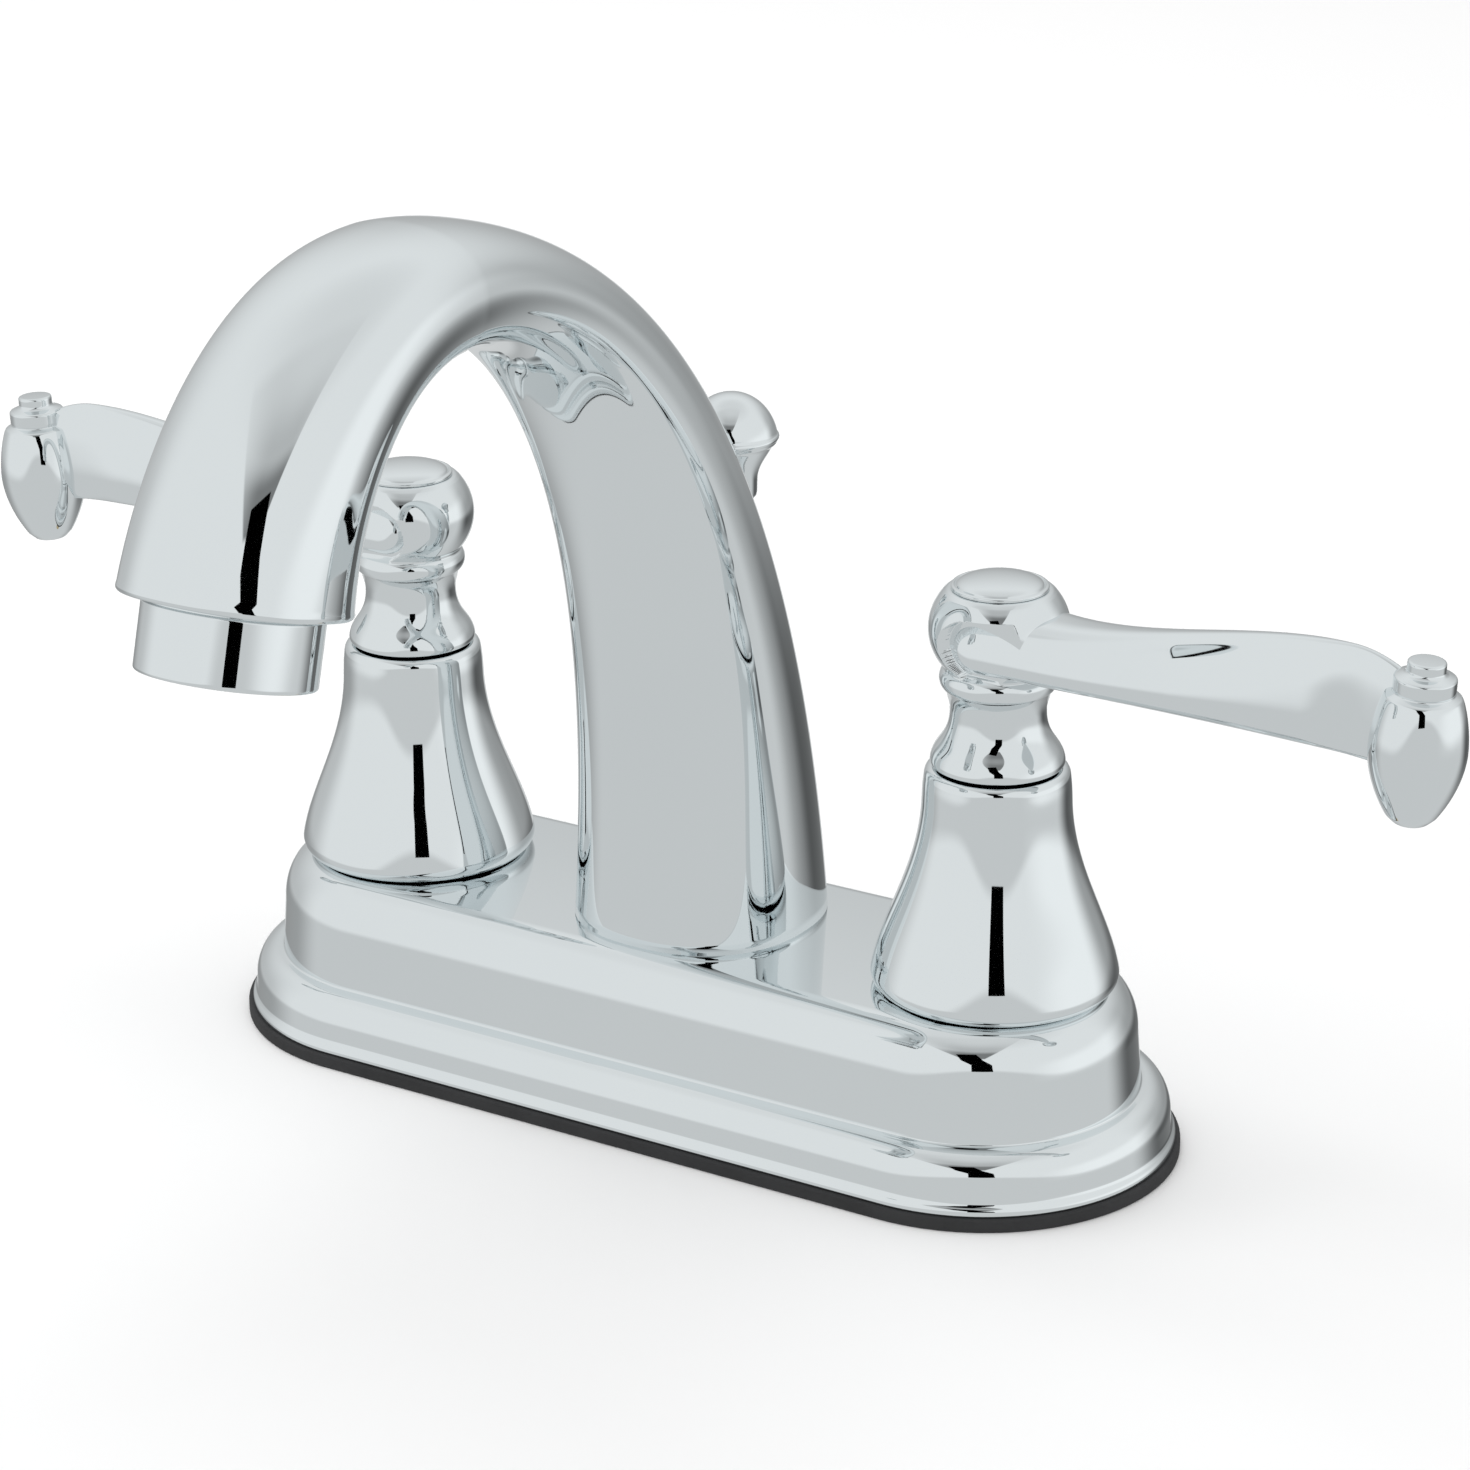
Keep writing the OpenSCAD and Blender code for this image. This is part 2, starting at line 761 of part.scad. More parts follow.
// turned finial at the lever's tip, leaning outwards
module bud() {
    translate([lever_reach, 0, nose_mid_z])
        rotate([0, bud_tilt, 0])
            translate([0, 0, -nose_mid_z])
                turned(concat(
                    [[0, bud_low_z], [bud_button_r - 0.5, bud_low_z + 0.1],
                        [bud_button_r + 0.3, bud_low_z + 0.6]],
                    bud_body,
                    [[bud_shoulder_r - 0.1, bud_top_z - 5], [bud_ring_r - 0.1, bud_top_z - 4.5],
                        [bud_ring_r, bud_top_z - 4.1], [bud_ring_r, bud_top_z - 2.3],
                        [bud_ring_r - 0.3, bud_top_z - 1.9], [bud_button_r, bud_top_z - 1.8],
                        [bud_button_r, bud_top_z - 0.4], [bud_button_r - 0.4, bud_top_z],
                        [0, bud_top_z]]));
}

// angles at which the ball starts above the bead and ends at its cut
ball_a1 = asin((ball_cut_z - 0.4 - ball_z) / ball_h);
ball_a0 = asin((bead_z + 1.4 - ball_z) / ball_h);

// collar, waist, bead and ball in one turned piece
module hub() {
    turned(concat(
        [[0, handle_z], [collar_r - 0.3, handle_z]],
        curve([collar_r, handle_z + 0.4], [collar_r - 0.2, handle_z + 3.2],
            [waist_r + 0.2, handle_z + 3.4], [waist_r, waist_z - 0.4]),
        [[waist_r, waist_z], [waist_r + 0.1, waist_z + 1]],
        arc(bead_r - 1.4, bead_z - 0.2, 1.4, 1.6, -78, 60),
        arc(0, ball_z, ball_r, ball_h, ball_a0, ball_a1),
        [[ball_r * cos(ball_a1) - 0.5, ball_cut_z], [0, ball_cut_z]]));
}

module handle() {
    difference() {
        rotate([0, 0, 180 + lever_turn])
            union() {
                difference() {
                    hub();
                    for (s = [-1, 1])
                        translate([nose_u, s * (nose_w + 3), nose_mid_z]) {
                            scale([nose_len / nose_h, 1, 1])
                                rotate([90, 0, 0])
                                    cylinder(r = nose_h, h = 6, center = true, $fn = fn_hole);
                            translate([0, -3, -nose_h])
                                cube([ball_r + 2, 6, 2 * nose_h]);
                        }
                }
                lever();
                bud();
            }
        translate([-stem_sq / 2 - 0.1, -stem_sq / 2 - 0.1, handle_z - 1])
            cube([stem_sq + 0.2, stem_sq + 0.2, web_z - handle_z + 1]);
        rod(screw_r + 0.25, web_z - 1, web_top_z + 1);
        rod(screw_head_r + 0.5, web_top_z, plug_z);
        rod(index_plug_r + fit, plug_z, ball_cut_z + 1);
    }
}

module hot_handle() {
    color([0.87, 0.88, 0.9])
        at_hot()
            handle();
}

module cold_handle() {
    color([0.87, 0.88, 0.9])
        at_cold()
            handle();
}

module index_button() {
    turned(concat(
        [[0, plug_z + 0.2], [index_plug_r, plug_z + 0.2], [index_plug_r, ball_cut_z],
            [index_r, ball_cut_z], [index_r, ball_cut_z + 0.4], [index_r - 0.2, ball_cut_z + 0.6],
            [index_dome_r + 0.2, ball_cut_z + 0.6], [index_dome_r + 0.1, ball_cut_z + 0.4]],
        arc(0, ball_cut_z + 0.4, index_dome_r, index_h - 0.4, 6, 90)));
}

module hot_index_button() {
    color([0.9, 0.9, 0.92])
        at_hot()
            index_button();
}

module cold_index_button() {
    color([0.9, 0.9, 0.92])
        at_cold()
            index_button();
}

// screw that draws the handle down on the stem
module handle_screw() {
    difference() {
        union() {
            rod(screw_r, stem_top_z - screw_in, web_top_z);
            rod(screw_head_r, web_top_z, web_top_z + screw_head_h);
        }
        hex(1.7, web_top_z + 1, web_top_z + screw_head_h + 1);
    }
}

module hot_handle_screw() {
    color([0.6, 0.61, 0.63])
        at_hot()
            handle_screw();
}

module cold_handle_screw() {
    color([0.6, 0.61, 0.63])
        at_cold()
            handle_screw();
}

foot_p = [foot_y, plateau_z];
crown_p = [-crown_y, crown_z];
mouth_p = [-mouth_y, mouth_z];
out_d = [-sin(mouth_tilt), -cos(mouth_tilt)];

// centreline of the spout's leg and of its drop, as y and z
function leg_at(u) = cubic(foot_p, foot_p + [0, pull_foot], crown_p + [pull_in, 0], crown_p, u);
function drop_at(u) = cubic(crown_p, crown_p - [pull_out, 0],
    mouth_p - out_d * pull_mouth, mouth_p, u);
function unit(v) = v / norm(v);
// each station holds its centre, its direction, its half width and its half thickness
stations = concat(
    [for (i = [0:leg_steps]) let (u = i / leg_steps)
        [leg_at(u), i == 0 ? [0, 1] : i == leg_steps ? [-1, 0]
            : unit(leg_at(u + 0.01) - leg_at(u - 0.01)),
            cubic(foot_w, (foot_w + crown_w) / 2 - 2, leg_w, crown_w, u),
            cubic(foot_t, (foot_t + crown_t) / 2 - 3, leg_t, crown_t, u)]],
    [for (i = [1:drop_steps]) let (u = i / drop_steps)
        [drop_at(u), i == drop_steps ? out_d : unit(drop_at(u + 0.01) - drop_at(u - 0.01)),
            crown_w + (mouth_w - crown_w) * u, crown_t + (mouth_t - crown_t) * pow(u, 1.2)]]);
last_station = leg_steps + drop_steps;

// ring of points round a station, drawn in by the wall thickness
function spout_ring(s, wall, count) = let (n = [s[1][1], -s[1][0]])
    [for (i = [0:count - 1]) let (a = 360 * (i + 0.5) / count,
        v = (s[3] - wall) * soft(sin(a), spout_n))
        [(s[2] - wall) * soft(cos(a), spout_n), s[0][0] + n[0] * v, s[0][1] + n[1] * v]];
// station pushed along its direction
function pushed(s, d) = [s[0] + s[1] * d, s[1], s[2], s[3]];

module at_mouth(d) {
    translate([0, mouth_p[0] + out_d[0] * d, mouth_p[1] + out_d[1] * d])
        rotate([180 - mouth_tilt, 0, 0])
            children();
}

// arched casting with a stud below and a seat for the aerator at its mouth
module spout() {
    inner = [for (i = [2:last_station - web_stations]) stations[i]];
    color([0.86, 0.87, 0.89])
        difference() {
            union() {
                difference() {
                    skin([for (s = stations) spout_ring(s, 0, spout_around)]);
                    skin(concat([spout_ring(pushed(stations[0], floor_t), spout_t, 32)],
                        [for (s = inner) spout_ring(s, spout_t, 32)]));
                }
                translate([0, -stud_y, 0])
                    rod(stud_r, stud_end_z, plateau_z + 1);
            }
            translate([0, -stud_y, 0])
                rod(port_r + 1.2, stud_end_z - 1, floor_z + 1);
            translate([0, -stud_y, 0])
                rod(hose_r + fit, floor_z - hose_in, floor_z + 1);
            translate([0, rod_y, 0])
                rod(bush_r + fit, plateau_z - 1, floor_z + 1);
            translate([0, rod_y, 0])
                rod(rod_r + pass, floor_z, plateau_z + rod_hole_len);
            at_mouth(-aerator_seat)
                rod(aerator_thread_r + fit, 0, aerator_seat + 1);
            at_mouth(-aerator_seat)
                rod(hose_r + fit, -20, 1);
        }
}

// centre of the inner hose, moved forward over the stud at its foot
hose_first = 3;
hose_last = last_station - web_stations - 1;
function hose_shift(i) = -(foot_y + stud_y) * pow(1 - (i - hose_first) / (hose_last - hose_first), 4);
function hose_ring(c, d, r) = let (n = [d[1], -d[0]])
    [for (i = [0:hose_around - 1]) let (a = 360 * i / hose_around)
        [r * cos(a), c[0] + n[0] * r * sin(a), c[1] + n[1] * r * sin(a)]];
hose_path = concat(
    [[[-stud_y, floor_z - hose_in], [0, 1]]],
    [for (i = [hose_first:hose_last])
        [stations[i][0] + [hose_shift(i), 0], stations[i][1]]],
    [[mouth_p - out_d * (aerator_seat + 8), out_d],
        [mouth_p - out_d * (aerator_seat + 0.2), out_d]]);

// a pipe with a bore, drawn over its path, closed by a flat ring at each end
module pipe(path, r1, r0) {
    n = hose_around;
    m = len(path);
    points = concat([for (p = path) for (q = hose_ring(p[0], p[1], r1)) q],
        [for (p = path) for (q = hose_ring(p[0], p[1], r0)) q]);
    walls = [for (w = [0, 1]) for (j = [0:m - 2]) for (i = [0:n - 1])
        let (k = (i + 1) % n, a = w == 0 ? i : k, b = w == 0 ? k : i, o = w * m * n + j * n)
        for (f = [[o + n + b, o + b, o + a], [o + n + a, o + n + b, o + a]]) f];
    ends = [for (e = [0, 1]) for (i = [0:n - 1])
        let (k = (i + 1) % n, a = e == 0 ? i : k, b = e == 0 ? k : i, o = e * (m - 1) * n, q = m * n)
        for (f = [[o + a, o + b, o + q + b], [o + a, o + q + b, o + q + a]]) f];
    polyhedron(points, concat(walls, ends), convexity = 8);
}

module spout_hose() {
    color([0.75, 0.76, 0.78])
        pipe(hose_path, hose_r, hose_bore_r);
}

// flat ring pressed against the mouth's web round the hose
module hose_seal() {
    color([0.12, 0.12, 0.13])
        at_mouth(-aerator_seat)
            ring(hose_r + 2.4, hose_bore_r, 0, 1);
}

module stud_seal() {
    color([0.12, 0.12, 0.13])
        translate([0, -stud_y, 0])
            ring(stud_r - 0.1, port_r + 1.4, tee_floor_z, stud_end_z);
}

module spout_washer() {
    color([0.7, 0.71, 0.73])
        translate([0, -stud_y, 0])
            ring(clamp_r, stud_r + fit, plate_under_z - clamp_h, plate_under_z);
}

module spout_nut() {
    color([0.8, 0.68, 0.4])
        translate([0, -stud_y, 0])
            difference() {
                hex(spout_nut_r, plate_under_z - clamp_h - nut_h + 0.4, plate_under_z - clamp_h);
                rod(stud_r + fit, tee_top_z, plate_under_z);
            }
}

module aerator_housing() {
    color([0.88, 0.89, 0.91])
        at_mouth(0)
            turned([[aerator_bore_r, 0.4], [aerator_bore_r + 0.5, -aerator_thread_len],
                [aerator_thread_r, -aerator_thread_len], [aerator_thread_r, 0],
                [aerator_r, 0], [aerator_r, aerator_len - 0.8],
                [aerator_r - 0.3, aerator_len - 0.2], [aerator_r - 0.8, aerator_len],
                [aerator_bore_r + 0.1, aerator_len], [aerator_bore_r - 0.6, aerator_len - 0.9],
                [aerator_bore_r - 0.6, aerator_len - 1.8], [aerator_bore_r, aerator_len - 1.8]]);
}

module aerator_washer() {
    color([0.1, 0.1, 0.11])
        at_mouth(-aerator_thread_len)
            ring(aerator_thread_r - 0.2, aerator_thread_r - aerator_washer_w,
                aerator_thread_len - aerator_seat, 0);
}

// flow straightener with a ring of channels
module aerator_insert() {
    color([0.93, 0.93, 0.9])
        at_mouth(0)
            difference() {
                rod(aerator_bore_r - 0.1, aerator_len - 7.6, aerator_len - 2.6);
                for (a = [0:30:330])
                    rotate([0, 0, a])
                        translate([6.6, 0, 0])
                            rod(1.2, 0, aerator_len);
                for (a = [0:60:300])
                    rotate([0, 0, a])
                        translate([3, 0, 0])
                            rod(1, 0, aerator_len);
            }
}

// thin grid of bars at the end of the aerator
module aerator_screen() {
    color([0.35, 0.36, 0.38])
        at_mouth(aerator_len - 2.6)
            union() {
                ring(aerator_bore_r - 0.1, aerator_bore_r - 1, 0, 0.7);
                for (k = [-3:3])
                    for (q = [0, 90])
                        rotate([0, 0, q])
                            translate([-sqrt(pow(aerator_bore_r - 0.6, 2) - pow(k * 2.2, 2)),
                                k * 2.2 - 0.25, 0.1])
                                cube([2 * sqrt(pow(aerator_bore_r - 0.6, 2) - pow(k * 2.2, 2)),
                                    0.5, 0.5]);
            }
}

module lift_rod() {
    color([0.84, 0.85, 0.87])
        translate([0, rod_y, 0]) {
            rod(rod_r, rod_low + rod_end_len, knob_z + rod_into_knob);
            rod(rod_end_r, rod_low, rod_low + rod_end_len + 1);
        }
}

module lift_knob() {
    top = knob_z + knob_h;
    color([0.87, 0.88, 0.9])
        translate([0, rod_y, 0])
            difference() {
                turned(concat(
                    [[0, knob_z], [knob_neck_r - 0.3, knob_z], [knob_neck_r, knob_z + 0.3]],
                    curve([knob_neck_r, knob_z + 3.4], [knob_neck_r + 0.2, knob_z + 5.4],
                        [knob_r - 1.8, knob_z + 6.4], [knob_r - 0.9, knob_z + 8.4]),
                    [[knob_r - 0.3, knob_z + 9], [knob_r, knob_z + 9.6],
                        [knob_r - 0.1, knob_z + 10.2]],
                    curve([knob_r - 0.35, knob_z + 10.7], [knob_r - 1.2, knob_z + 13.4],
                        [knob_r - 3.4, top], [0, top])));
                rod(rod_r + 0.02, knob_z - 1, knob_z + rod_into_knob);
            }
}

// sleeve that guides the rod through the floor of the spout
module rod_bushing() {
    color([0.92, 0.92, 0.9])
        translate([0, rod_y, 0])
            difference() {
                union() {
                    rod(bush_r, plate_under_z, floor_z);
                    rod(bush_flange_r, plate_under_z - bush_flange_h, plate_under_z);
                }
                rod(rod_r + run, plate_under_z - 5, floor_z + 1);
            }
}

base_escutcheon();
base_gasket();
hot_valve_body();
cold_valve_body();
hot_cross_tube();
cold_cross_tube();
spout_tee();
hot_shank_washer();
cold_shank_washer();
hot_locknut();
cold_locknut();
hot_body_nut();
cold_body_nut();
hot_cartridge_body();
cold_cartridge_body();
hot_stem();
cold_stem();
hot_upper_disc();
cold_upper_disc();
hot_lower_disc();
cold_lower_disc();
hot_seat_seal();
cold_seat_seal();
hot_bell();
cold_bell();
hot_handle();
cold_handle();
hot_index_button();
cold_index_button();
hot_handle_screw();
cold_handle_screw();
spout();
spout_hose();
hose_seal();
stud_seal();
spout_nut();
spout_washer();
aerator_housing();
aerator_washer();
aerator_insert();
aerator_screen();
lift_rod();
lift_knob();
rod_bushing();
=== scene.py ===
# %% [markdown]
# # A centerset bathroom faucet
# A polished chrome faucet on a white ground is mostly a picture of its studio. So this lesson first builds
# every visible casting as a smooth surface from its own formula, then gives each metal and rubber its
# finish, and last sets up the pale room that the chrome mirrors. All sizes are in millimetres until a mesh
# is made.

# %% Start from the packed frame
import json

import bmesh
import bpy
import numpy as np
from mathutils import Matrix, Vector

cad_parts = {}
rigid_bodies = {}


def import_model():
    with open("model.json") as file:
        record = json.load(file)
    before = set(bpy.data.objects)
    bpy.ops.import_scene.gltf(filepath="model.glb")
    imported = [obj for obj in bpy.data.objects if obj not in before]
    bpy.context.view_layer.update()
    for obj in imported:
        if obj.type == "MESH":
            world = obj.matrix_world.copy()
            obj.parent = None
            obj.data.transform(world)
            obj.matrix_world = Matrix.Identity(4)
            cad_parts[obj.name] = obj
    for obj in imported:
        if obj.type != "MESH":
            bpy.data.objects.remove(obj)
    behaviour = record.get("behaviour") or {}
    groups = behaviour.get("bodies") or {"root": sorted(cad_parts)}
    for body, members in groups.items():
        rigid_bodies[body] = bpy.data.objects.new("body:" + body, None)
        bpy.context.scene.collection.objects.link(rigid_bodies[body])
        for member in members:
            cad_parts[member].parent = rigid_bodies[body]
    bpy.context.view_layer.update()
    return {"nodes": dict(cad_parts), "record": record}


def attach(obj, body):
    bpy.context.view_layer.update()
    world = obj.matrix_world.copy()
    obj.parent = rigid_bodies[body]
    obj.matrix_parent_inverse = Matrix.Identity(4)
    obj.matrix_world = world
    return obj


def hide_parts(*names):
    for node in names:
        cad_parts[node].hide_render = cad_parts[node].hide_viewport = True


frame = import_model()
print("nodes in the frame:", len(frame["nodes"]))

# %% [markdown]
# ## The camera
# The photograph was taken from the right and a little above, with a long lens. These numbers come from
# fitting a camera to the outlines of the turned pieces, so every piece can be compared with the photograph
# in place.

# %% Set the camera
AZIMUTH, ELEVATION, ROLL = np.radians([32.56, 21.51, -0.68])
DISTANCE, LOOK_AT = 0.66956, np.array([0.0, 0.0, 0.05])
FRAME_PX, FOCAL_PX, CENTRE_PX = 1470, 4530.95, (694.62, 760.88)

ahead = np.array([np.sin(AZIMUTH), -np.cos(AZIMUTH), 0.0])
side = np.array([np.cos(AZIMUTH), np.sin(AZIMUTH), 0.0])
back = ahead * np.cos(ELEVATION) + np.array([0.0, 0.0, np.sin(ELEVATION)])
rise = np.cross(back, side)
right = side * np.cos(ROLL) + rise * np.sin(ROLL)
up = -side * np.sin(ROLL) + rise * np.cos(ROLL)
camera_data = bpy.data.cameras.new("camera")
camera_data.sensor_width = 36.0
camera_data.lens = FOCAL_PX / FRAME_PX * 36.0
camera_data.shift_x = (FRAME_PX / 2 - CENTRE_PX[0]) / FRAME_PX
camera_data.shift_y = (CENTRE_PX[1] - FRAME_PX / 2) / FRAME_PX
camera_data.clip_start = 0.01
camera = bpy.data.objects.new("camera", camera_data)
bpy.context.scene.collection.objects.link(camera)
eye = LOOK_AT + DISTANCE * back
camera.matrix_world = Matrix(((right[0], up[0], back[0], eye[0]), (right[1], up[1], back[1], eye[1]),
                              (right[2], up[2], back[2], eye[2]), (0, 0, 0, 1)))
bpy.context.scene.camera = camera
print("camera stands at", np.round(eye, 3))

# %% [markdown]
# ## Surfaces from grids
# A turned, swept or lofted piece is a grid of points, one direction along its profile and the other round
# it. The grid is worked out as one array and handed to the mesh in one go. Where a row shrinks to a point,
# its doubles are merged, so poles and seams are closed.

# %% From a grid to an object
SEAM = 1e-7


def grid_faces(rows, columns, first):
    """Quads between neighbouring rows, with the last column joined to the first one."""
    row = np.arange(rows - 1)[:, None]
    column = np.arange(columns)[None, :]
    ahead = (column + 1) % columns
    corners = np.stack([row * columns + column, row * columns + ahead,
                        (row + 1) * columns + ahead, (row + 1) * columns + column], axis=-1)
    return corners.reshape(-1, 4) + first


def piece(name, grids, body, replaces=()):
    """Makes one object from grids of millimetre points, merges its poles and lets it ride on its body."""
    points, faces, first = [], [], 0
    for grid in grids:
        rows, columns = grid.shape[:2]
        points.append(grid.reshape(-1, 3) / 1000.0)
        faces.append(grid_faces(rows, columns, first))
        first += rows * columns
    mesh = bpy.data.meshes.new(name)
    mesh.from_pydata(np.concatenate(points), [], np.concatenate(faces).tolist())
    work = bmesh.new()
    work.from_mesh(mesh)
    bmesh.ops.remove_doubles(work, verts=work.verts, dist=SEAM)
    bmesh.ops.dissolve_degenerate(work, dist=SEAM / 10, edges=work.edges)
    bmesh.ops.recalc_face_normals(work, faces=work.faces)
    work.to_mesh(mesh)
    work.free()
    mesh.shade_smooth()
    made = bpy.data.objects.new(name, mesh)
    bpy.context.scene.collection.objects.link(made)
    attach(made, body)
    if replaces:
        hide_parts(*replaces)
    print(f"{name}: {len(mesh.polygons)} faces")
    return made


# %% [markdown]
# ## Profiles with soft edges
# Cast and plated metal has no knife edges: each corner catches a thin line of light. A profile here is a
# list of points with a rounding radius each, and every corner becomes a small arc. A helper point just
# before and after each arc keeps the flat beside it truly flat in its shading.

# %% Rounded profiles
ARC = np.linspace(0.0, 1.0, 7)[:, None]
GUARD = 0.12


def rounded(corners):
    """A polyline with each corner replaced by a parabola that touches both sides at the radius's distance."""
    corners = np.asarray(corners, float)
    points = [corners[0, :2]]
    for before, here, after in zip(corners[:-2], corners[1:-1], corners[2:]):
        p, radius = here[:2], here[2]
        a, b = before[:2] - p, after[:2] - p
        la, lb = np.hypot(*a), np.hypot(*b)
        if radius <= 0:
            points.append(p)
            continue
        cut = min(radius, 0.45 * la, 0.45 * lb)
        start, stop = p + a / la * cut, p + b / lb * cut
        points.append(start + a / la * min(GUARD, 0.05 * la))
        points.extend((1 - ARC)**2 * start + 2 * ARC * (1 - ARC) * p + ARC**2 * stop)
        points.append(stop + b / lb * min(GUARD, 0.05 * lb))
    points.append(corners[-1, :2])
    return np.array(points)


def cubic(a, b, c, d, steps):
    """Points on the cubic curve from a to d that sets out towards b and arrives from c."""
    u = np.linspace(0.0, 1.0, steps)[:, None]
    a, b, c, d = (np.atleast_1d(np.asarray(q, float)) for q in (a, b, c, d))
    return a * (1 - u)**3 + 3 * b * u * (1 - u)**2 + 3 * c * u**2 * (1 - u) + d * u**3


def oval(centre, radii, start, stop, steps):
    """Points on an ellipse between two angles in degrees."""
    angle = np.radians(np.linspace(start, stop, steps))
    return np.stack([centre[0] + radii[0] * np.cos(angle), centre[1] + radii[1] * np.sin(angle)], axis=1)


def plain(points, radius=0.0):
    """The same points with one rounding radius for all."""
    return np.column_stack([points, np.full(len(points), radius)])


def turned(profile, centre=(0.0, 0.0), columns=128):
    """A surface of revolution: radius times cosine and sine of the angle, at the profile's height."""
    angle = np.linspace(0.0, 2 * np.pi, columns, endpoint=False)[None, :]
    radius, height = profile[:, :1], profile[:, 1:2]
    return np.stack([centre[0] + radius * np.cos(angle), centre[1] + radius * np.sin(angle),
                     height + 0 * angle], axis=-1)


# %% [markdown]
# ## The base
# The base is one casting in two tiers with rounded ends. Every level of it is the same spine, a straight
# line between two points, pushed outwards by the profile's radius. So the whole casting is its profile
# carried round that spine, out over the top and back along the inside of the shell.

# %% Base and gasket
HALF, SPINE = 50.8, 48.5
PLATEAU, SHELL, GASKET = 26.3, 2.5, 1.98


def along_spine(profile, ends=72, straight=12):
    """Profile radius times the outward direction, added to the spine point, at the profile's height."""
    turn = np.linspace(-np.pi / 2, np.pi / 2, ends)
    run = np.linspace(SPINE, -SPINE, straight + 2)[1:-1]
    spine_x = np.concatenate([np.full(ends, SPINE), run, np.full(ends, -SPINE), -run])
    out_x = np.concatenate([np.cos(turn), 0 * run, -np.cos(turn), 0 * run])
    out_y = np.concatenate([np.sin(turn), 0 * run + 1, -np.sin(turn), 0 * run - 1])
    radius, height = profile[:, :1], profile[:, 1:2]
    return np.stack([spine_x + radius * out_x, radius * out_y, height + 0 * out_x[None, :]], axis=-1)


base_profile = rounded(np.concatenate([
    [[0.0, PLATEAU - SHELL, 0.0]],
    plain(oval((14.8, 18.9), (5.6, 4.9), 90, 0, 12)),
    [[20.9, 8.1, 1.0], [25.4, 6.0, 1.0], [25.4, 2.0, 0.2]],
    [[28.7, 2.0, 0.25], [28.7, 2.9, 0.4], [28.05, 3.7, 0.5]],
    plain(oval((24.2, 6.0), (3.7, 4.6), 0, 86, 18)),
    [[24.1, 10.6, 0.25], [23.5, 10.65, 0.3]],
    plain(oval((17.3, 18.9), (5.6, 7.4), 0, 90, 24)),
    [[0.0, PLATEAU, 0.0]]]))
piece("base_casting", [along_spine(base_profile)], "faucet", ["base_escutcheon"])

gasket_profile = rounded([[0, 0, 0], [29.4, 0, 0.3], [29.4, GASKET, 0.4], [0, GASKET, 0]])
gasket = piece("gasket_band", [along_spine(gasket_profile)], "faucet", ["base_gasket"])

# %% [markdown]
# ## The bells
# Each bell is turned: a short rounded foot, the widest place just above it, then a long hollow flank that
# draws in to a slender neck. The flank is one cubic curve, so the reflections run along it without a break.
# The inside is hollow over the valve, and the top has the hole that the stem comes through.

# %% Bells
BELL_FOOT, BELL_TOP, BELL_FLOOR, STEM_HOLE = PLATEAU + 0.02, 59.8, 54.0, 4.7
bell_profile = rounded(np.concatenate([
    [[0.0, 46.0, 0], [9.5, 46.0, 0.5], [14.0, 32.3, 0.5], [14.6, BELL_FOOT, 0.2], [16.2, BELL_FOOT, 0.4]],
    plain(oval((16.1, 28.4), (1.8, 2.08), -62, -8, 10)),
    plain(cubic((17.9, 28.4), (16.6, 36.0), (10.9, 44.0), (10.7, 55.0), 56)),
    [[10.6, 57.0, 0.8], [10.25, BELL_TOP, 1.3], [STEM_HOLE, BELL_TOP, 0.4], [STEM_HOLE, BELL_FLOOR, 0],
     [0, BELL_FLOOR, 0]]]))
for side_name, x in (("hot", -HALF), ("cold", HALF)):
    piece(f"{side_name}_bell_shell", [turned(bell_profile, (x, 0))], "faucet", [f"{side_name}_bell"])

# %% [markdown]
# ## The handles
# Collar, waist, bead and ball are turned, the lever is a lofted blade that pushes a round nose into the
# ball, and the little vase at its end is turned on an axis of its own. On the real handle they are one
# casting, so they are grids of one mesh here. The blade is a wedge: widest low down, with bulging faces and
# a slim rounded ridge. The ball is shaped round it by formula: its points that lie inside the nose's
# outline sink under it.

# %% Laws of the lever
REACH = 66.5
LEVER_TURN = np.radians(5.4)
LOW_Z, HUB_Z, RISE = 74.6, 83.7, 6.2
MID_Z, NOSE_HIGH = (LOW_Z + HUB_Z) / 2, (HUB_Z - LOW_Z) / 2
NOSE_AT, NOSE_LONG = 1.0, 5.2


def soft(wave, squareness):
    """A cosine or sine drawn towards a square wave: its size to the power two over the squareness."""
    return np.sign(wave) * np.abs(wave)**(2.0 / squareness)


def blade_laws(u):
    """Middle height, half height, half thickness and wedge of the lever at distances u from its axis, and how
    far into the nose each distance is, from 0 behind it to 1 at its point."""
    ahead = np.clip((NOSE_AT - u) / NOSE_LONG, 0, 1)
    open_up = NOSE_HIGH * np.sqrt(1 - ahead**2)
    t = np.clip((u - 10) / 46, 0, 1)
    top = MID_Z + open_up + RISE * t * t * (3 - 2 * t) - 1.9 * (np.clip(u - 56, 0, None) / 7.5)**2
    low = MID_Z - open_up - 0.8 * (np.clip(u - 50, 0, None) / 13)**2
    width = 3.3 + 5.6 * np.clip(1 - u / 58, 0, None)**1.6
    scoop = np.sin(np.pi / 2 * np.clip((u - 50) / 9.5, 0, 1))**2
    wedge = 0.2 + 0.25 * np.clip(u / 30, 0, 1)
    return (top + low) / 2, (top - low) / 2, width - (width - 2.0) * scoop, wedge, ahead


def blade_half(u, v):
    """Half thickness at distance u and relative height v: width times the cube root of one minus the cube of
    the distance towards the outline, thinned evenly from the lower edge to the ridge."""
    _, _, width, wedge, ahead = blade_laws(u)
    open_v = np.sqrt(1 - ahead**2) * v
    edge = np.sqrt(ahead**2 + open_v**2)
    return width * np.cbrt(np.clip(1 - edge**3, 0, 1)) * (1 - wedge * (1 + open_v) / 2)


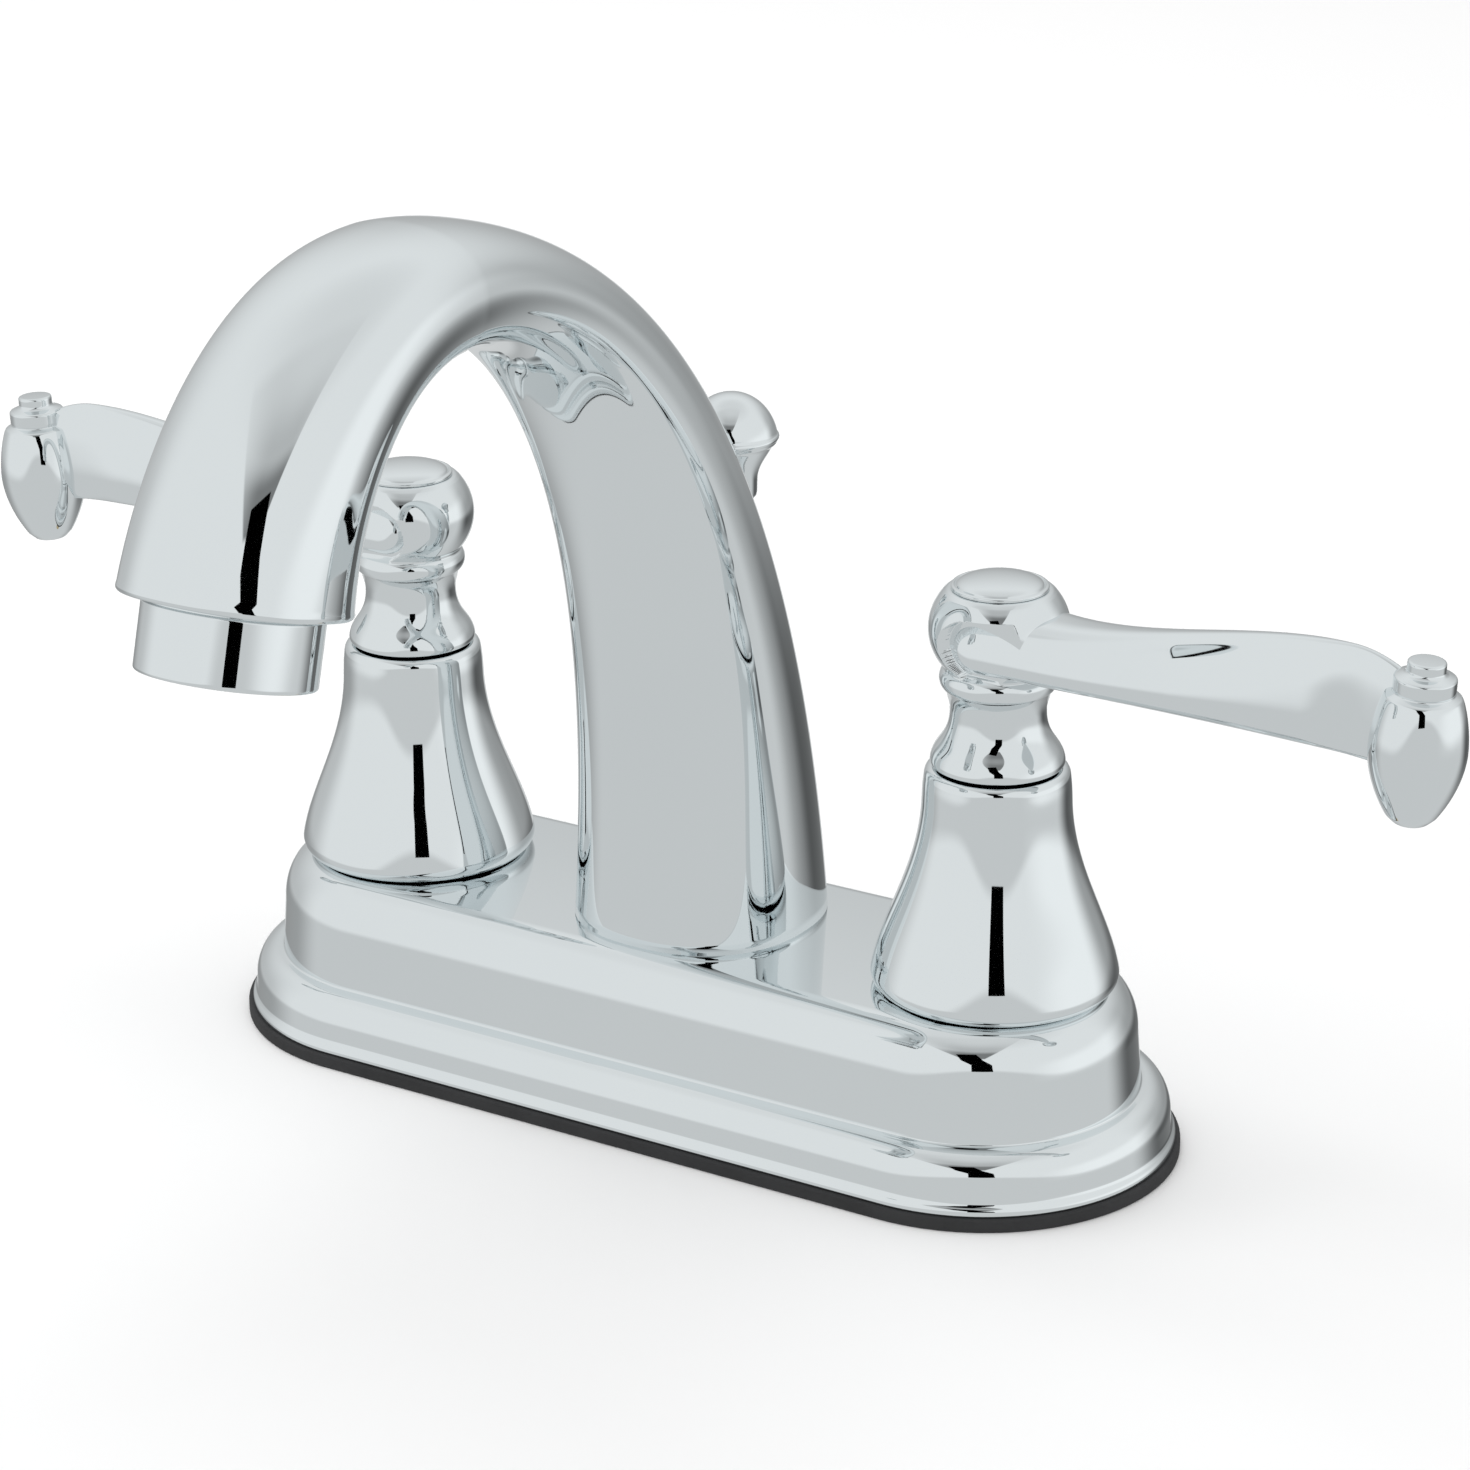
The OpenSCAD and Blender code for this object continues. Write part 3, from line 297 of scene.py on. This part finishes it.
def blade_grid(around=96, steps=150):
    """Sections along the lever, closer together round the nose."""
    nose = NOSE_AT - NOSE_LONG * np.cos(np.linspace(0.04, np.pi / 2, 24))
    u = np.concatenate([nose, np.linspace(NOSE_AT, 63.5, steps)[1:]])[:, None]
    angle = np.linspace(0, 2 * np.pi, around, endpoint=False)[None, :]
    v = soft(np.sin(angle), 3.0)
    middle, tall, *_ = blade_laws(u)
    face = np.sign(np.round(np.cos(angle), 9))
    body = np.stack([u + 0 * angle, face * blade_half(u, v), middle + tall * v], axis=-1)
    caps = [np.broadcast_to(row.mean(axis=0), row.shape)[None] for row in (body[0], body[-1])]
    return np.concatenate([caps[0], body, caps[1]])


print("the lever reaches", REACH, "mm from its axis")

# %% Profiles of the hub, the finial and the index button
hub_profile = rounded(np.concatenate([
    [[0, 62.0, 0], [4.3, 62.0, 0.2], [4.3, 60.2, 0.3], [9.5, 60.2, 0.35]],
    plain(cubic((9.6, 60.7), (9.3, 63.4), (7.05, 63.7), (6.85, 67.8), 22)),
    [[6.85, 68.9, 0.8]],
    plain(oval((7.0, 73.0), (1.4, 1.75), -70, 58, 18)),
    plain(oval((0, 80.3), (10.0, 8.9), -37, 37.5, 70)),
    [[7.35, 86.2, 0.35], [6.0, 86.2, 0.2], [6.0, 82.2, 0], [0, 82.2, 0]]]))

bud_profile = rounded(np.concatenate([
    [[0, 66.8, 0], [2.3, 66.85, 0.5], [2.9, 67.4, 0.3]],
    plain(cubic((3.5, 68.0), (4.6, 69.7), (6.5, 73.3), (6.6, 77.2), 24)),
    plain(cubic((6.6, 77.4), (6.6, 79.8), (6.0, 82.9), (5.3, 84.6), 20)),
    [[5.1, 85.0, 0.25], [4.1, 85.5, 0.2], [4.2, 85.9, 0.25], [4.2, 87.7, 0.3]],
    [[2.9, 88.15, 0.3], [2.6, 88.5, 0.25], [2.6, 89.9, 0.4], [0, 90.0, 0]]]))

index_profile = rounded(np.concatenate([
    [[0, 82.4, 0], [5.8, 82.4, 0.2], [5.8, 86.22, 0], [6.9, 86.22, 0.12], [6.9, 86.7, 0.2], [6.45, 86.8, 0.1],
     [6.3, 86.6, 0.1]], plain(oval((0, 86.6), (6.2, 1.4), 8, 90, 24))]))
print("profile points:", len(hub_profile), len(bud_profile), len(index_profile))

# %% [markdown]
# Three grids make one handle. The hub's ball is pressed in where the blade's nose comes out of it, the
# finial leans outwards at the end, and the lever points a little to the front. The hot side is the mirror
# image.

# %% Handle castings
NOSE_HALF = 6.4


def sunk(grid):
    """Presses the ball's points that lie within the blade's outline to NOSE_HALF from the middle plane."""
    x, y, z = np.moveaxis(grid, -1, 0)
    ahead = np.clip((NOSE_AT - x) / NOSE_LONG, 0, None)
    inside = np.hypot(ahead, (z - MID_Z) / NOSE_HIGH) < 1
    return np.stack([x, np.where(inside, np.clip(y, -NOSE_HALF, NOSE_HALF), y), z], axis=-1)


def leaning(grid, degrees=3.5):
    """Leans the finial outwards about its middle, then moves it to the end of the lever."""
    cos, sin = np.cos(np.radians(degrees)), np.sin(np.radians(degrees))
    x, z = grid[..., 0], grid[..., 2] - MID_Z
    return np.stack([REACH + x * cos + z * sin, grid[..., 1], MID_Z + z * cos - x * sin], axis=-1)


def placed(grid, x):
    """Turns a grid clockwise by the lever's turn, mirrors it where x is below 0, and moves it to x."""
    cos, sin = np.cos(LEVER_TURN), np.sin(LEVER_TURN)
    out_x = grid[..., 0] * cos + grid[..., 1] * sin
    out_y = grid[..., 1] * cos - grid[..., 0] * sin
    return np.stack([x + np.sign(x) * out_x, out_y, grid[..., 2]], axis=-1)


handle_grids = sunk(turned(hub_profile, columns=320)), blade_grid(), leaning(turned(bud_profile, columns=96))
for side_name, x in (("hot", -HALF), ("cold", HALF)):
    piece(f"{side_name}_handle_casting", [placed(grid, x) for grid in handle_grids], f"{side_name}_lever",
          [f"{side_name}_handle"])
    piece(f"{side_name}_index_cap", [turned(index_profile, (x, 0), 96)], f"{side_name}_lever",
          [f"{side_name}_index_button"])

# %% [markdown]
# ## The spout
# The spout is a loft. Its centreline is two cubic curves that meet level at the crown. At each station
# stands a soft box, a little squarer than an ellipse, which is nearly round at the foot, wide and thin at
# the crown and nearly round again at the mouth. At the mouth the skin turns inwards over a small lip.

# %% Spout casting
FOOT, CROWN, MOUTH = np.array([1.4, 26.3]), np.array([-68.4, 138.4]), np.array([-106.2, 106.9])
TILT = np.radians(16.0)
OUTLET = np.array([-np.sin(TILT), -np.cos(TILT)])
SQUARENESS, LIP = 2.3, 0.7


def stations(leg=150, drop=80):
    """Centres, directions, half widths and half thicknesses along the leg and the drop."""
    leg_path = cubic(FOOT, FOOT + [0, 84.5], CROWN + [26.4, 0], CROWN, leg)
    drop_path = cubic(CROWN, CROWN - [21.4, 0], MOUTH - OUTLET * 14.9, MOUTH, drop)[1:]
    path = np.concatenate([leg_path, drop_path])
    direction = np.gradient(path, axis=0)
    direction[0], direction[-1] = (0.0, 1.0), OUTLET
    direction /= np.linalg.norm(direction, axis=1, keepdims=True)
    u = np.linspace(0, 1, drop)[1:, None]
    width = np.concatenate([cubic(18.3, 13.8, 12.2, 13.3, leg), 13.3 + 1.5 * u])
    thick = np.concatenate([cubic(18.1, 10.55, 6.0, 9.0, leg), 9.0 + 4.7 * u**1.2])
    return path, direction, width, thick


def section_rings(path, direction, width, thick, around=160, squareness=SQUARENESS):
    """Soft boxes across the path: width along X, thickness along the path's own normal."""
    angle = np.linspace(0, 2 * np.pi, around, endpoint=False)[None, :]
    across, out = width * soft(np.cos(angle), squareness), thick * soft(np.sin(angle), squareness)
    normal = np.stack([direction[:, 1], -direction[:, 0]], axis=1)
    return np.stack([across, path[:, :1] + normal[:, :1] * out, path[:, 1:] + normal[:, 1:] * out], axis=-1)


def spout_grid():
    """The lofted skin, its lip, the round bore inside the mouth and the flat floor at the foot."""
    path, direction, width, thick = stations()
    skin = section_rings(path, direction, width, thick)
    bend = np.linspace(0, np.pi / 2, 8)[:, None]
    ahead = np.concatenate([[[-0.1]], LIP * np.sin(bend), [[LIP]]])
    drawn = np.concatenate([[[0.0]], LIP * (1 - np.cos(bend)), [[LIP + 0.15]]])
    end = MOUTH - OUTLET * (LIP - ahead)
    lip = section_rings(end, np.repeat(OUTLET[None, :], len(ahead), 0), width[-1] - drawn, thick[-1] - drawn)
    bore_at = np.array([0.0, 0.0, 6.0, 8.0, 8.0])[:, None]
    bore_r = np.array([11.1, 10.9, 10.9, 10.9, 0.0])[:, None]
    bore = section_rings(MOUTH - OUTLET * bore_at, np.repeat(OUTLET[None, :], len(bore_at), 0),
                         bore_r, bore_r, squareness=2.0)
    floor = section_rings(path[:1], direction[:1], 0 * width[:1], 0 * thick[:1])
    keep = np.linalg.norm(path - MOUTH, axis=1) > LIP + 0.2
    return np.concatenate([floor, skin[keep], lip, bore])


piece("spout_casting", [spout_grid()], "faucet", ["spout"])

# %% [markdown]
# ## The aerator
# The aerator is a plain turned ring, screwed up against the mouth with a hair of shadow between them. It
# sits on the outlet's own tilted axis, so a turned grid is first made upright and then laid along that
# axis.

# %% Aerator


def at_mouth(grid):
    """Lays a turned grid along the outlet: its height becomes distance out of the mouth."""
    x, y, z = np.moveaxis(grid, -1, 0)
    normal = np.array([OUTLET[1], -OUTLET[0]])
    out_y, out_z = MOUTH[:, None, None] + OUTLET[:, None, None] * z + normal[:, None, None] * y
    return np.stack([x, out_y, out_z], axis=-1)


aerator_profile = rounded([
    [9.7, -6.0, 0], [10.8, -6.0, 0.2], [10.8, 0.05, 0.1], [11.3, 0.05, 0.1], [11.3, 0.45, 0.1],
    [11.7, 0.55, 0.15], [11.7, 9.3, 0.45], [10.9, 9.5, 0.3], [9.3, 9.5, 0.3], [8.7, 8.9, 0.2],
    [8.7, 7.8, 0], [9.2, 7.8, 0], [9.2, 0.4, 0], [9.7, -6.0, 0]])
piece("aerator_ring", [at_mouth(turned(aerator_profile))], "faucet", ["aerator_housing"])

# %% [markdown]
# ## The lift rod and its knob
# Behind the spout's crown a small mushroom knob sits on a thin rod, which goes down through the spout's
# back and the base to the drain below. Both are turned about one axis and ride on the body that slides.

# %% Knob and rod
ROD_Y, ROD_R, ROD_TOP, ROD_LOW, ROD_END_R, KNOB = 11.0, 1.6, 96.5, -70.0, 1.2, 87.9
knob_profile = rounded(np.concatenate([
    [[0, KNOB, 0], [3.7, KNOB, 1.0]],
    plain(cubic((3.8, 91.0), (4.0, 93.0), (5.2, 94.2), (6.1, 96.0), 20)),
    [[6.7, 96.5, 0.3]],
    plain(oval((6.55, 97.3), (0.45, 0.5), -60, 70, 9)),
    plain(cubic((6.65, 98.2), (6.0, 101.0), (3.6, 103.8), (0.0, 103.8), 40))]))
piece("knob_turning", [turned(knob_profile, (0, ROD_Y))], "lift", ["lift_knob"])
rod_profile = rounded([[0, ROD_LOW, 0], [ROD_END_R, ROD_LOW, 0.4], [ROD_END_R, ROD_LOW + 20, 0.05],
                       [ROD_R, ROD_LOW + 20.1, 0.05], [ROD_R, ROD_TOP, 0.1], [0, ROD_TOP, 0]])
piece("rod_turning", [turned(rod_profile, (0, ROD_Y), 48)], "lift", ["lift_rod"])

# %% [markdown]
# ## Writing shader maths as expressions
# A finish is a small formula: this much grain, less of it where fingers polish. The class below wraps one
# socket, so such a formula reads as arithmetic, and each operator adds the Math node that it needs.

# %% A socket that does arithmetic


class Wire:
    """A value in a node tree, with the arithmetic that the finishes use."""

    def __init__(self, tree, socket):
        self.tree, self.socket = tree, socket

    def node(self, kind, settings=None, output=0, **values):
        """Adds a node of this type, sets it up, and gives its inputs values or links by socket name. Where
        names repeat, i0, i1 and so on stand for the sockets by number."""
        made = self.tree.nodes.new(kind)
        for key, value in (settings or {}).items():
            setattr(made, key, value)
        for key, value in values.items():
            numbered = key[0] == "i" and key[1:].isdigit()
            target = made.inputs[int(key[1:]) if numbered else key.replace("_", " ")]
            if isinstance(value, Wire):
                self.tree.links.new(value.socket, target)
            else:
                target.default_value = value
        return Wire(self.tree, made.outputs[output])

    def maths(self, operation, a, b):
        """A Math node on two values or wires."""
        return self.node("ShaderNodeMath", {"operation": operation}, i0=a, i1=b)

    def __add__(self, other):
        return self.maths("ADD", self, other)

    def __mul__(self, other):
        return self.maths("MULTIPLY", self, other)

    def __sub__(self, other):
        return self.maths("SUBTRACT", self, other)

    def __rsub__(self, other):
        return self.maths("SUBTRACT", other, self)

    def __pow__(self, other):
        return self.maths("POWER", self, other)

    def __abs__(self):
        return self.maths("ABSOLUTE", self, 0.0)

    def above(self, least):
        """This value, but never less than the least."""
        return self.maths("MAXIMUM", self, least)

    def along(self, direction):
        """How far a place lies along a direction: the dot product of the two."""
        return self.node("ShaderNodeVectorMath", {"operation": "DOT_PRODUCT"}, 1, i0=self, i1=direction)

    def between(self, low, high):
        """A smooth step from 0 at the low value to 1 at the high value."""
        return self.node("ShaderNodeMapRange", {"interpolation_type": "SMOOTHSTEP"}, Value=self, From_Min=low,
                         From_Max=high)

    __radd__, __rmul__ = __add__, __mul__


def finish(name, colour, metal):
    """A new material with a Principled shader, and the wire of its Object coordinates."""
    material = bpy.data.materials.new(name)
    material.use_nodes = True
    tree = material.node_tree
    shader = tree.nodes["Principled BSDF"]
    shader.inputs["Base Color"].default_value = (*colour, 1)
    shader.inputs["Metallic"].default_value = metal
    place = Wire(tree, tree.nodes.new("ShaderNodeTexCoord").outputs["Object"])
    return material, shader, place


def plug(wire, shader, socket):
    """Links a wire to one of the shader's inputs."""
    wire.tree.links.new(wire.socket, shader.inputs[socket])


def noise(place, scale, detail=2.0):
    """Cloudy values round one half, this many clouds to the metre."""
    return place.node("ShaderNodeTexNoise", Vector=place, Scale=scale, Detail=detail)


def tint(place, factor, dark, light):
    """A colour between two colours."""
    return place.node("ShaderNodeMix", {"data_type": "RGBA"}, 2, i0=factor, i6=(*dark, 1), i7=(*light, 1))


def bump(place, height, strength, distance):
    """A normal that follows a height."""
    return place.node("ShaderNodeBump", Height=height, Strength=strength, Distance=distance)


print("Wire offers", ", ".join(name for name in vars(Wire) if not name.startswith("_")))

# %% [markdown]
# ## Chrome
# Decorative chrome is a bright, faintly blue metal that is nearly a mirror. What separates it from a
# perfect mirror is small: a breath of haze where water has dried, and fine hairlines from wiping that only
# open up the highlight a little. Both go into the roughness, far too faint to be seen as a pattern of their
# own.

# %% Chrome finish
POLISH, HAZE, HAIRLINE = 0.018, 0.05, 0.04
chrome, shader, place = finish("polished_chrome", (0.80, 0.815, 0.83), 1.0)
haze = noise(place, 38.0, 3.0)
wipe = place.node("ShaderNodeMapping", Vector=place, Scale=(90.0, 90.0, 900.0))
hairlines = noise(wipe, 1.0)
plug(POLISH + haze**3.0 * HAZE + hairlines**4.0 * HAIRLINE, shader, "Roughness")
plug(tint(place, noise(place, 22.0), (0.79, 0.825, 0.838), (0.825, 0.858, 0.866)), shader, "Base Color")
print("chrome is made")

# %% [markdown]
# ## The other finishes
# Under the chrome there is ordinary plumbing: cast and turned brass, drawn copper, zinc-plated steel, black
# rubber, moulded white plastic and ground ceramic. Each gets the one trait that tells it from the next,
# such as tool marks on brass or the fine speckle of a moulded part.

# %% Plumbing finishes
finishes = {"chrome": chrome}


def plumbing(name, dark, light, metal, roughness, spread, scale, relief):
    """A finish with cloudy colour, varying roughness and a fine relief, all on Object coordinates."""
    material, shader, place = finish(name, light, metal)
    cloud, grain = noise(place, scale), noise(place, scale * 9, 3.0)
    plug(tint(place, cloud, dark, light), shader, "Base Color")
    plug(roughness + spread * grain, shader, "Roughness")
    plug(bump(place, grain, 0.4, relief), shader, "Normal")
    return material


PLUMBING = {
    "brass": ("turned_brass", (0.62, 0.46, 0.20), (0.78, 0.62, 0.33), 1.0, 0.22, 0.2, 120.0, 3e-5),
    "copper": ("drawn_copper", (0.62, 0.32, 0.20), (0.80, 0.46, 0.32), 1.0, 0.2, 0.2, 90.0, 2e-5),
    "steel": ("plated_steel", (0.50, 0.51, 0.52), (0.66, 0.67, 0.68), 1.0, 0.25, 0.2, 150.0, 2e-5),
    "black_rubber": ("black_rubber", (0.012, 0.012, 0.013), (0.03, 0.03, 0.032), 0.0, 0.55, 0.2, 110.0, 4e-5),
    "white_plastic": ("moulded_plastic", (0.80, 0.79, 0.75), (0.88, 0.88, 0.85), 0.0, 0.35, 0.15, 140.0, 2e-5),
    "ceramic": ("ground_ceramic", (0.84, 0.83, 0.79), (0.92, 0.91, 0.88), 0.0, 0.12, 0.1, 200.0, 1e-5)}
finishes.update({slot: plumbing(*traits) for slot, traits in PLUMBING.items()})
print("finishes:", ", ".join(finishes))

# %% Give every piece and every node its finish
slot_of = {row["node"]: row["material_slot"] for row in frame["record"]["subparts"]}
for name, node in frame["nodes"].items():
    node.data.materials.clear()
    node.data.materials.append(finishes[slot_of[name]])
for made in bpy.data.objects:
    if made.type == "MESH" and made.name not in frame["nodes"]:
        made.data.materials.append(finishes["black_rubber" if made is gasket else "chrome"])
print("slots in use:", ", ".join(sorted(set(slot_of.values()))))

# %% [markdown]
# ## The room
# The faucet stands on white with a soft shadow. Chrome shows whatever surrounds it, so the room matters
# more than the lamps. It is a dome that only reflections see, with its shades worked out from the
# direction: grey below, where the table is, lighter walls, a softer ceiling, a bright window on the right
# and dark corners behind. A black sheet before the camera is the opening of the tent that it looks through,
# with a grey flap above it. It draws the crisp black bar on every turned piece.

# %% World and lamps
world = bpy.data.worlds.new("pale_room")
bpy.context.scene.world = world
world.use_nodes = True
tree = world.node_tree
path_info = tree.nodes.new("ShaderNodeLightPath")
seen = Wire(tree, path_info.outputs["Is Camera Ray"]) + Wire(tree, path_info.outputs["Is Glossy Ray"]) \
    + Wire(tree, path_info.outputs["Is Transmission Ray"])
tree.nodes["Background"].inputs["Color"].default_value = (1, 1, 1, 1)
FILL = 0.75
tree.links.new((seen * (1 - FILL) + FILL).socket, tree.nodes["Background"].inputs["Strength"])


def lamp(name, position, size, power):
    """A square area lamp that looks at the faucet."""
    data = bpy.data.lights.new(name, "AREA")
    data.size, data.energy = size, power
    made = bpy.data.objects.new(name, data)
    bpy.context.scene.collection.objects.link(made)
    made.location = position
    made.rotation_euler = (Vector(position) - Vector((0, 0, 0.05))).to_track_quat("Z", "Y").to_euler()
    made.visible_glossy = False
    return made


lamp("ceiling_lamp", (-0.25, 0.1, 1.5), 1.2, 9.0)
lamp("left_lamp", (-1.3, -0.6, 0.9), 0.9, 4.0)
print("lamps:", ", ".join(light.name for light in bpy.data.lights))

# %% Floor
BIG = 3.0
RAYS = "camera", "diffuse", "glossy", "transmission", "shadow"


def staged(name, work, rays):
    """Makes a stage object that only these rays meet, and hands back its dull shader and its coordinates."""
    mesh = bpy.data.meshes.new(name)
    work.to_mesh(mesh)
    work.free()
    made = bpy.data.objects.new(name, mesh)
    bpy.context.scene.collection.objects.link(made)
    for ray in RAYS:
        setattr(made, f"visible_{ray}", ray in rays)
    material, shader, place = finish(name, (0.0, 0.0, 0.0), 0.0)
    shader.inputs["Roughness"].default_value = 0.9
    shader.inputs["Specular IOR Level"].default_value = 0.0
    mesh.materials.append(material)
    return shader, place


work = bmesh.new()
bmesh.ops.create_grid(work, size=2 * BIG)
shader, place = staged("floor", work, ("camera", "diffuse", "transmission", "shadow"))
shader.inputs["Base Color"].default_value = (0.93, 0.93, 0.93, 1)
print("the floor reaches", 2 * BIG, "m each way")

# %% [markdown]
# The dome's shade is a sum of soft steps of four numbers, each from -1 to 1: how far a place on it lies
# towards the camera, to the camera's right, upwards, and straight away from the camera.

# %% Dome
GROUND, WALLS, CEILING, WINDOW, CORNERS, RIGHT_CORNER = 0.66, 0.20, 0.10, 0.13, 0.42, 0.19
FLAP, FLAP_MIDDLE, FLAP_TOP = 0.64, 0.32, 0.28
work = bmesh.new()
bmesh.ops.create_uvsphere(work, u_segments=128, v_segments=64, radius=BIG)
shader, place = staged("dome", work, ("glossy",))
towards, across, high, away = (place.along((direction / BIG).tolist()) for direction in
                               (ahead, side, np.array([0.0, 0.0, 1.0]), -back))
walls = (high - 0.45 * towards.above(0.0)**4.0).between(-0.28, -0.14)
window = across.between(0.5, 0.95) * (1 - abs(high).between(0.1, 0.35))
corners = (0 - towards).between(0.1, 0.6) * (1 - high.between(-0.1, 0.8)) * high.between(-0.95, -0.3)
corners = corners * (1 - away.between(0.94, 0.98))
level = GROUND + WALLS * walls - CEILING * high.between(0.75, 1.0) + WINDOW * window
level = level - corners * (CORNERS + RIGHT_CORNER * across)
hem = high - 0.9 * (-0.25 - across).above(0.0) - 1.3 * (across - 0.02).above(0.0)
depth = FLAP - FLAP_MIDDLE * high.between(0.70, 0.80) - FLAP_TOP * high.between(0.80, 1.0)
depth = depth * (1 - abs(across + 0.05).between(0.12, 0.62))
level = level - depth * hem.between(0.56, 0.59) * towards.between(-0.1, 0.1)
plug(tint(place, level, (0.0, 0.0, 0.0), (0.975, 0.995, 1.0)), shader, "Emission Color")
shader.inputs["Emission Strength"].default_value = 1.0
print("the dome's shade takes", len(shader.id_data.nodes), "nodes")

# %% [markdown]
# The opening is a flat black sheet that stands upright at the camera's distance. Its outline is given to
# the camera's right and in height, and it leans to the left as it rises.

# %% The dark opening
STAND = 0.62
OUTLINE = [(-0.055, 0.12), (0.10, 0.12), (0.095, 0.26), (0.03, 0.38), (-0.03, 0.60),
           (-0.22, 0.60), (-0.15, 0.38), (-0.06, 0.26)]
work = bmesh.new()
work.faces.new([work.verts.new(ahead * STAND + side * to_right + np.array([0.0, 0.0, height]))
                for to_right, height in OUTLINE])
staged("opening", work, ("glossy",))
print("the room stands")

# %% Colour handling and the end
bpy.context.scene.view_settings.view_transform = "Standard"
